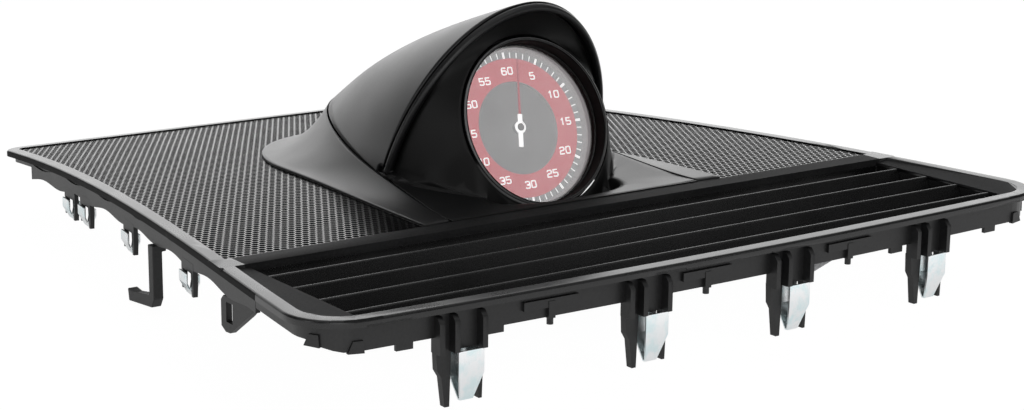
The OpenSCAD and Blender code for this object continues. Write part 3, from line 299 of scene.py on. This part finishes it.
for face in bm.faces:
    spot, normal = face.calc_center_median(), face.normal
    half_w = abs(spot.x)
    strip = half_w < strip_half_w and strip_front - 0.0005 < spot.y < strip_back + 0.0001
    band = spot.y < strip_front and 0.15 < half_w < 0.178 and 0.3 < normal.z < 0.9999
    if strip or band:
        face.material_index = 1
    # Outer side faces at left and right: painted shadow, a near-black for the dark gap under the rim.
    elif spot.y > 0.06 and half_w > 0.1 and normal.x * spot.x > 0.7 * half_w:
        face.material_index = 2
trim = even_shading(fit(object_from("trim", bm), trim_black, ["trim_frame"]))
trim.data.materials.append(strip_black)
trim.data.materials.append(shade_and_lens_edge_black)


# The grille: a thin black sheet punched with six-sided holes in close rows, curved with the
# panel and shown as a left and a right half. Its edges run under the rim, the cross strip
# and the foot of the hood.
grille_black = moulding("grille_black", (0.012, 0.012, 0.0125), 0.16, 0.0003, 0.000006)
pitch, web, sheet = 0.0033, 0.00052, 0.0008
sheet_top, sheet_middle = 0.0024, 0.248
crown_start, crown_radius = 0.089, 3.31
columns, rows = 236, 106
cell_r = pitch / math.sqrt(3)
step_x, step_y = pitch / 2, 1.5 * cell_r
first_x, first_y = -columns * step_x / 2, sheet_middle - rows * step_y / 2
bm = cad_copy("mesh_sheet")
cad_sheet = BVHTree.FromBMesh(bm)
bm.free()


def over_sheet(x, y):
    return cad_sheet.ray_cast(Vector((x, y, 0.03)), Vector((0, 0, -1)))[0] is not None


def in_outline(x, y):
    reach = 0.003
    return all(
        any(over_sheet(x + k * dx, y + k * dy) for k in range(8))
        for dx, dy in ((reach, 0), (-reach, 0), (0, reach), (0, -reach))
    )


def is_odd(x, y):
    return (round((x - first_x) / step_x) + round((y - first_y) / step_y)) % 2 == 1


for name, low, high in (("grille_left", -0.2, 0.0), ("grille_right", 0.0, 0.2)):
    bm = bmesh.new()
    bmesh.ops.create_grid(bm, x_segments=columns, y_segments=rows, size=0.5)
    spread = Matrix.Diagonal((columns * step_x, rows * step_y, 1, 1))
    bmesh.ops.transform(bm, verts=bm.verts, matrix=Matrix.Translation((0, sheet_middle, 0)) @ spread)
    upright = []
    for edge in bm.edges:
        a, b = edge.verts[0].co, edge.verts[1].co
        if abs(a.x - b.x) < 1e-6 and is_odd(a.x, min(a.y, b.y)):
            upright.append(edge)
    for vert in bm.verts:
        vert.tag = is_odd(*vert.co.xy)
    bmesh.ops.dissolve_edges(bm, edges=upright, use_verts=False, use_face_split=False)
    for vert in bm.verts:
        vert.co.y += -cell_r / 4 if vert.tag else cell_r / 4
    spare = []
    for face in bm.faces:
        spot = face.calc_center_median()
        kept = len(face.verts) == 6 and low <= spot.x < high
        if not (kept and (in_outline(*spot.xy) or any(over_sheet(*v.co.xy) for v in face.verts))):
            spare.append(face)
    bmesh.ops.delete(bm, geom=spare, context="FACES")
    holes = list(bm.faces)
    bmesh.ops.inset_individual(bm, faces=holes, thickness=web / 2, use_even_offset=True)
    bmesh.ops.delete(bm, geom=holes, context="FACES_ONLY")
    for vert in bm.verts:
        vert.co.z = sheet_top - max(0.0, vert.co.y - crown_start) ** 2 / (2 * crown_radius)
    bmesh.ops.recalc_face_normals(bm, faces=bm.faces)
    if sum(face.normal.z for face in bm.faces) < 0:
        bmesh.ops.reverse_faces(bm, faces=bm.faces)
    grille = object_from(name, bm)
    thickness = grille.modifiers.new("sheet", "SOLIDIFY")
    thickness.thickness = sheet
    thickness.offset = -1
    # The hole walls and the sheet's edges get the darker black: painted shade in the holes.
    thickness.material_offset_rim = 1
    grille.data.materials.append(grille_black)
    grille.data.materials.append(shade_and_lens_edge_black)
    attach(grille, "panel")
    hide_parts("mesh_sheet")


# The vent: a shallow well with four fixed slats across it, moulded in black plastic and set
# into the front of the trim frame.
def dress(node, name, material, angle, width, segments, body="panel"):
    bm = cad_copy(node)
    round_off(bm, sharp_edges(bm, angle), width, segments)
    return even_shading(fit(object_from(name, bm), material, [node], body))


vent_black = moulding("vent_black", (0.004, 0.004, 0.0042), 0.24, 0.0004, 0.000008)
dress("vent_well", "well", vent_black, 60, 0.0003, 2)
dress("vent_slats", "slats", vent_black, 20, 0.0004, 3)


# The rails: four skirts under the rim with the clip towers, pegs and tabs, plain black
# mouldings whose edges are only just broken.
rail_black = moulding("rail_black", (0.012, 0.012, 0.0125), 0.42, 0.0007, mottle=0.3)
for node in ("front_rail", "left_rail", "right_rail", "rear_rail"):
    dress(node, node + "_moulded", rail_black, 50, 0.0002, 1)


# The hooks and slotted brackets: separate mouldings in the rails' black plastic, held behind
# the side skirts. Their edges are rounder than the rails'.
for node in ("hooks", "slotted_brackets"):
    dress(node, node + "_moulded", rail_black, 20, 0.0004, 3)


# The spring clips: bent from spring steel, zinc-plated with a faint blue-green cast, and
# pushed on between the prongs of the towers.
def plated(name, colour, roughness, tint):
    finish, inputs, place = blank_finish(name)
    stretched = place.node("ShaderNodeMapping", None, {"Vector": place, "Scale": (900.0, 900.0, 90.0)})
    cloud, streak = place.noise(180.0, 4.0), stretched.noise(4.0, 2.0)
    cloud.ease(0.4, 0.65).blend(list(colour) + [1], list(tint) + [1]).feed(inputs["Base Color"])
    (roughness - 0.08 + 0.16 * streak).feed(inputs["Roughness"])
    streak.bump(0.3, 0.00001).feed(inputs["Normal"])
    inputs["Metallic"].default_value = 1.0
    return finish


spring_zinc = plated("spring_zinc", (0.93, 0.95, 0.96), 0.24, (0.78, 0.90, 0.92))
for node in ("front_clips", "side_clips"):
    dress(node, node + "_bent", spring_zinc, 20, 0.00018, 2)


# The felt tab: a cut of pale felt that hangs from the vent's well and stops a rattle. Its
# fibres lie mostly upright.
felt_grey, inputs, place = blank_finish("felt_grey")
stretched = place.node("ShaderNodeMapping", None, {"Vector": place, "Scale": (1.0, 1.0, 0.35)})
fibre = stretched.noise(2600.0, 5.0)
felt_shade = fibre.ease(0.35, 0.65).blend((0.42, 0.42, 0.43, 1), (0.62, 0.62, 0.63, 1))
felt_shade.feed(inputs["Base Color"])
fibre.bump(0.8, 0.0001).feed(inputs["Normal"])
inputs["Roughness"].default_value = 0.95
dress("felt_tab", "felt", felt_grey, 20, 0.0003, 2)


# The hood: shell, base, lip and liner, four satin black mouldings with smooth round faces.
# The liner is painted a duller, darker black inside, a painted shade under the hood; its flat floor
# keeps the shell's finish.
def smooth_skin(node):
    crease_angle, crease_hold, levels = 35, 0.92, 2
    bm = cad_copy(node)
    bmesh.ops.join_triangles(
        bm, faces=bm.faces,
        angle_face_threshold=math.radians(30), angle_shape_threshold=math.radians(80),
    )
    crease = bm.edges.layers.float.new("crease_edge")
    for edge in sharp_edges(bm, crease_angle):
        edge[crease] = crease_hold
    piece = object_from(node + "_skin", bm)
    skin = piece.modifiers.new("round", "SUBSURF")
    skin.levels = levels
    skin.render_levels = levels
    return piece


hood_black = moulding("hood_black", (0.006, 0.006, 0.0065), 0.34, 0.00035, 0.000012, 0.2)
liner_shade_black = moulding("liner_shade_black", (0.002, 0.002, 0.0021), 0.45, 0.00035, 0.000012, 0.2, 0.3)
for node, slot in (
    ("hood_shell", "hood_black"), ("hood_base", "hood_black"), ("hood_lip", "bezel_black"),
):
    fit(smooth_skin(node), hood_black, [node])
liner = fit(smooth_skin("hood_liner"), liner_shade_black, ["hood_liner"])
liner.data.materials.append(hood_black)
# The liner's flat floor keeps the shell's lighter finish; the rest of the liner is painted shade.
for face in liner.data.polygons:
    if face.normal.z > 0.9 and face.center.y < 0.16:
        face.material_index = 1


# A block in the liner's black behind the cross strip that closes the slit ahead of the hood's
# floor: a painted shadow standing in for the shade of the slit, so that no light comes up through it.
front_shade_place, front_shade_size = (0, 0.10055, 0.0002), (0.132, 0.0009, 0.0065)
shade_strip = Matrix.Translation(front_shade_place) @ Matrix.Diagonal((*front_shade_size, 1))
bm = bmesh.new()
bmesh.ops.create_cube(bm, size=1.0, matrix=shade_strip)
round_off(bm, bm.edges[:], 0.0001, 2)
fit(object_from("front_shade_block", bm), liner_shade_black)


# The seam's shade: a band in the liner's black inside the shell's lower edge, with a pad under
# each foot of the lip: painted shade, so that the seam between shell and base shows dark from every
# side.
seam_rise, shade_band_h, shade_band_drop, shade_band_forward = 0.105, 0.0050, 0.0028, 0.0030
shade_pad_place, shade_pad_size = (0.0560, 0.1645, 0.0078), (0.0040, 0.0130, 0.0040)
bm = cad_copy("hood_shell")
seam_foot = min(vert.co.z - seam_rise * vert.co.y for vert in bm.verts)
cut(bm, (0, 0, seam_foot + shade_band_h), (0, -seam_rise, 1), clear_outer=True)
bmesh.ops.holes_fill(bm, edges=[edge for edge in bm.edges if edge.is_boundary], sides=0)
bmesh.ops.scale(bm, vec=(0.975, 1, 1), verts=bm.verts)
bmesh.ops.translate(bm, vec=(0, -shade_band_forward, -shade_band_drop), verts=bm.verts)
for side in (-1, 1):
    foot = Matrix.Translation((side * shade_pad_place[0], *shade_pad_place[1:]))
    bmesh.ops.create_cube(bm, size=1.0, matrix=foot @ Matrix.Diagonal((*shade_pad_size, 1)))
fit(object_from("seam_shade_band", bm), liner_shade_black)


# The carrier under the hood and what is fixed to it: a moulded plate with two cheeks that
# hold the clock, posts for the shell, and plated pan-head screws.
screw_steel = plated("screw_steel", (0.55, 0.56, 0.58), 0.34, (0.48, 0.50, 0.53))
for node in ("pod_carrier", "shell_posts"):
    dress(node, node + "_moulded", rail_black, 60, 0.00025, 2)
for node in ("carrier_screws", "shell_screws", "case_screws", "clock_screws"):
    dress(node, node + "_turned", screw_steel, 60, 0.0001, 2)


# The clock's bezel and case: a satin black ring whose deep bore is painted a duller, darker
# black as painted shade and whose front edge is a paler grey as a painted highlight, and the
# moulded can behind it with its cover and wiring socket.
dial_tilt = math.radians(90 - 21.6)
dial_place = Matrix.Translation((0, 0.131, 0.0328)) @ Matrix.Rotation(dial_tilt, 4, "X")
to_dial = dial_place.inverted()
bezel_black = moulding("bezel_black", (0.004, 0.004, 0.0042), 0.24, 0.0003, 0.000006, 0.2)
edge_highlight_grey = moulding("edge_highlight_grey", (0.16, 0.16, 0.163), 0.3, 0.0003, 0.000006, 0.1)
bm = cad_copy("clock_bezel")
round_off(bm, sharp_edges(bm, 40), 0.0004, 3)
for face in bm.faces:
    spot, facing = to_dial @ face.calc_center_median(), to_dial.to_3x3() @ face.normal
    outward = spot.xy.dot(facing.xy)
    # Bore faces: painted shade, a dull near-black in place of the bore's reflections.
    if outward < 0 and abs(facing.z) < 0.7:
        face.material_index = 1
    # Outer bevel of the front edge: painted highlight, a paler grey ring.
    elif outward > 0 and spot.z > -0.0006 and 0.2 < facing.z < 0.98:
        face.material_index = 2
bezel = fit(object_from("clock_bezel_moulded", bm), bezel_black, ["clock_bezel"])
bezel.data.materials.append(shade_and_lens_edge_black)
bezel.data.materials.append(edge_highlight_grey)
even_shading(bezel)
for node in ("clock_case", "back_cover", "connector"):
    dress(node, node + "_moulded", rail_black, 40, 0.00025, 3)


# The lens: a flat clear disc in the bezel that lays a thin veil of reflection on the dial. Its
# edge is painted black, so that it pipes no light into the bore.
lens_clear = bpy.data.materials.new("lens_clear")
lens_clear.use_nodes = True
wire = Wire(lens_clear.node_tree)
clear = wire.node("ShaderNodeBsdfTransparent", None, {"Color": (1, 1, 1, 1)})
gloss = wire.node("ShaderNodeBsdfGlossy", None, {"Color": (1, 1, 1, 1), "Roughness": 0.03})
mirror = wire.node("ShaderNodeFresnel", None, {"IOR": 1.45})
smear = wire.node("ShaderNodeTexCoord", out="Object").noise(90.0, 3.0)
veil = wire.node("ShaderNodeMixShader", None, {0: mirror + 0.02 * smear, 1: clear, 2: gloss})
veil.feed(lens_clear.node_tree.nodes["Material Output"].inputs["Surface"])
bm = cad_copy("lens")
round_off(bm, sharp_edges(bm, 60), 0.0002, 2)
for face in bm.faces:
    if abs((to_dial.to_3x3() @ face.normal).z) < 0.95:
        face.material_index = 1
lens_disc = fit(object_from("lens_disc", bm), lens_clear, ["lens"])
lens_disc.data.materials.append(shade_and_lens_edge_black)
even_shading(lens_disc)


# The dial: a grey face with a raised red ring and a sunk centre, both lacquered, and the
# slope ring between it and the lens. The dial and its print glow with painted light, which brightens
# them evenly in the deep bezel.
def lacquer(name, colour, roughness, speck, glow=0.0):
    finish, inputs, place = blank_finish(name)
    grain, cloud = place.noise(1800.0, 3.0), place.noise(60.0, 2.0)
    shade = (0.7 * grain + 0.3 * cloud).ease(0.35, 0.65).blend(*two_shades(colour, speck))
    shade.feed(inputs["Base Color"])
    # Emission in the finish's own colour: painted light wherever glow is above zero.
    shade.feed(inputs["Emission Color"])
    inputs["Emission Strength"].default_value = glow
    (roughness - 0.05 + 0.1 * cloud).feed(inputs["Roughness"])
    grain.bump(0.3, 0.000008).feed(inputs["Normal"])
    return finish


painted_glow = 0.8
dial_grey = lacquer("dial_grey", (0.135, 0.135, 0.138), 0.55, 0.06, painted_glow)
dial_red = lacquer("dial_red", (0.35, 0.060, 0.074), 0.55, 0.05, painted_glow)
center_grey = lacquer("center_grey", (0.105, 0.105, 0.107), 0.55, 0.06, painted_glow)
for node, finish, slot in (
    ("rehaut", dial_grey, "dial_grey"), ("dial_plate", dial_grey, "dial_grey"),
    ("dial_ring", dial_red, "dial_red"), ("dial_center", center_grey, "dial_grey"),
):
    dress(node, node + "_lacquered", finish, 60, 0.0001, 2)


# The dial's print: sixty minute marks on the grey face and the numbers in fives on the red
# ring, all in thick white ink. The numbers are drawn in even strokes.
# The ink glows too, with the dial's painted light.
ink_white = lacquer("ink_white", (0.85, 0.85, 0.85), 0.5, 0.03, painted_glow)
face_z, ring_z, ink = -0.0156, -0.0153, 0.00008
five_mark, minute_mark = (0.0300, 0.0343, 0.0010), (0.0318, 0.0342, 0.0004)
bm = bmesh.new()
for minute in range(60):
    start, end, wide = minute_mark if minute % 5 else five_mark
    turn = Matrix.Rotation(-math.radians(6 * minute), 4, "Z")
    shift = Matrix.Translation((0, (start + end) / 2, face_z + ink / 2))
    mark = Matrix.Diagonal((wide, end - start, ink, 1))
    bmesh.ops.create_cube(bm, size=1.0, matrix=dial_place @ turn @ shift @ mark)
even_shading(fit(object_from("dial_marks", bm), ink_white))
strokes = {
    "0": [[
        (0.14, 0), (0.62, 0), (0.76, 0.14), (0.76, 0.86), (0.62, 1), (0.14, 1), (0, 0.86), (0, 0.14),
        (0.14, 0),
    ]],
    "1": [[(0.16, 0.8), (0.42, 1), (0.42, 0)]],
    "2": [[
        (0, 0.8), (0, 0.86), (0.14, 1), (0.62, 1), (0.76, 0.86), (0.76, 0.64), (0.62, 0.52),
        (0.14, 0.48), (0, 0.36), (0, 0), (0.76, 0),
    ]],
    "3": [[
        (0, 0.86), (0.14, 1), (0.62, 1), (0.76, 0.86), (0.76, 0.62), (0.66, 0.52), (0.76, 0.42),
        (0.76, 0.14), (0.62, 0), (0.14, 0), (0, 0.14),
    ], [(0.24, 0.52), (0.66, 0.52)]],
    "4": [[(0.56, 0), (0.56, 1), (0.44, 1), (0, 0.36), (0, 0.26), (0.78, 0.26)]],
    "5": [[
        (0.72, 1), (0.03, 1), (0, 0.56), (0.62, 0.56), (0.76, 0.44), (0.76, 0.14), (0.62, 0),
        (0.14, 0), (0, 0.14),
    ]],
    "6": [[
        (0.72, 0.88), (0.62, 1), (0.14, 1), (0, 0.86), (0, 0.14), (0.14, 0), (0.62, 0), (0.76, 0.14),
        (0.76, 0.44), (0.62, 0.57), (0, 0.57),
    ]],
}
digit_h, digit_w, digit_step, number_r, stroke_w = 0.0030, 0.76, 0.0033, 0.0258, 0.00052
lift = dial_place.to_3x3() @ Vector((0, 0, ink))
bm = bmesh.new()
for five in range(1, 13):
    text = str(5 * five)
    angle = math.radians(30 * five)
    left = -(len(text) * digit_step - (digit_step - digit_w * digit_h)) / 2
    middle_x, middle_y = number_r * math.sin(angle), number_r * math.cos(angle)
    corner = Vector((middle_x + left, middle_y - digit_h / 2, ring_z))
    for count, digit in enumerate(text):
        for path in strokes[digit]:
            spots = [Vector((x * digit_h + count * digit_step, y * digit_h, 0)) for x, y in path]
            verts = [bm.verts.new(dial_place @ (corner + spot)) for spot in spots]
            edges = [bm.edges.new(pair) for pair in zip(verts, verts[1:])]
            raised = bmesh.ops.extrude_edge_only(bm, edges=edges)["geom"]
            tops = [made for made in raised if isinstance(made, bmesh.types.BMVert)]
            bmesh.ops.translate(bm, verts=tops, vec=lift)
bmesh.ops.remove_doubles(bm, verts=bm.verts, dist=1e-7)
numbers = fit(object_from("dial_numbers", bm), ink_white)
for face in numbers.data.polygons:
    face.use_smooth = False
stroke = numbers.modifiers.new("stroke", "SOLIDIFY")
stroke.thickness = stroke_w
stroke.offset = 0
stroke.use_even_offset = True


# The hand: a white ring with stub and tail, a red needle and a dark boss, painted and pressed
# on the arbor. All three turn together.
# The ring and the needle glow with painted light; the boss does not.
hand_white = lacquer("hand_white", (0.88, 0.88, 0.88), 0.4, 0.03, painted_glow)
needle_red = lacquer("needle_red", (0.36, 0.03, 0.055), 0.4, 0.06, 0.4)
boss_grey = lacquer("boss_grey", (0.16, 0.16, 0.165), 0.45, 0.06)
for node, finish, slot in (
    ("hand_ring", hand_white, "hand_white"), ("hand_pointer", needle_red, "needle_red"),
    ("hand_boss", boss_grey, "bezel_black"),
):
    dress(node, node + "_painted", finish, 40, 0.00012, 2, "hand")


# The movement inside the case: gear train, magnet rotor, coils, bush, lamps and board, seen
# only when the clock is opened. The CAD shapes stand, and only get their finishes here.
movement_cream = lacquer("movement_cream", (0.62, 0.61, 0.56), 0.5, 0.05)
movement = {
    "output_wheel": plated("gear_steel", (0.60, 0.61, 0.63), 0.3, (0.55, 0.56, 0.58)),
    "gear_pins": screw_steel,
    "arbor_bush": screw_steel,
    "connector_pins": plated("pin_brass", (0.80, 0.66, 0.34), 0.28, (0.74, 0.60, 0.30)),
    "stator_coils": plated("copper", (0.78, 0.42, 0.26), 0.35, (0.70, 0.36, 0.22)),
    "idler_wheel": lacquer("gear_white", (0.72, 0.70, 0.64), 0.45, 0.04),
    "rotor": lacquer("magnet", (0.05, 0.05, 0.055), 0.5, 0.2),
    "movement_plate": movement_cream,
    "movement_cover": movement_cream,
    "light_guide": lacquer("guide_clear", (0.80, 0.84, 0.88), 0.2, 0.02),
    "leds": lacquer("led_white", (0.85, 0.82, 0.62), 0.35, 0.03),
    "circuit_board": lacquer("board_green", (0.02, 0.12, 0.05), 0.4, 0.15),
}
for node, finish in movement.items():
    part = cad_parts[node]
    part.data.materials.clear()
    part.data.materials.append(finish)
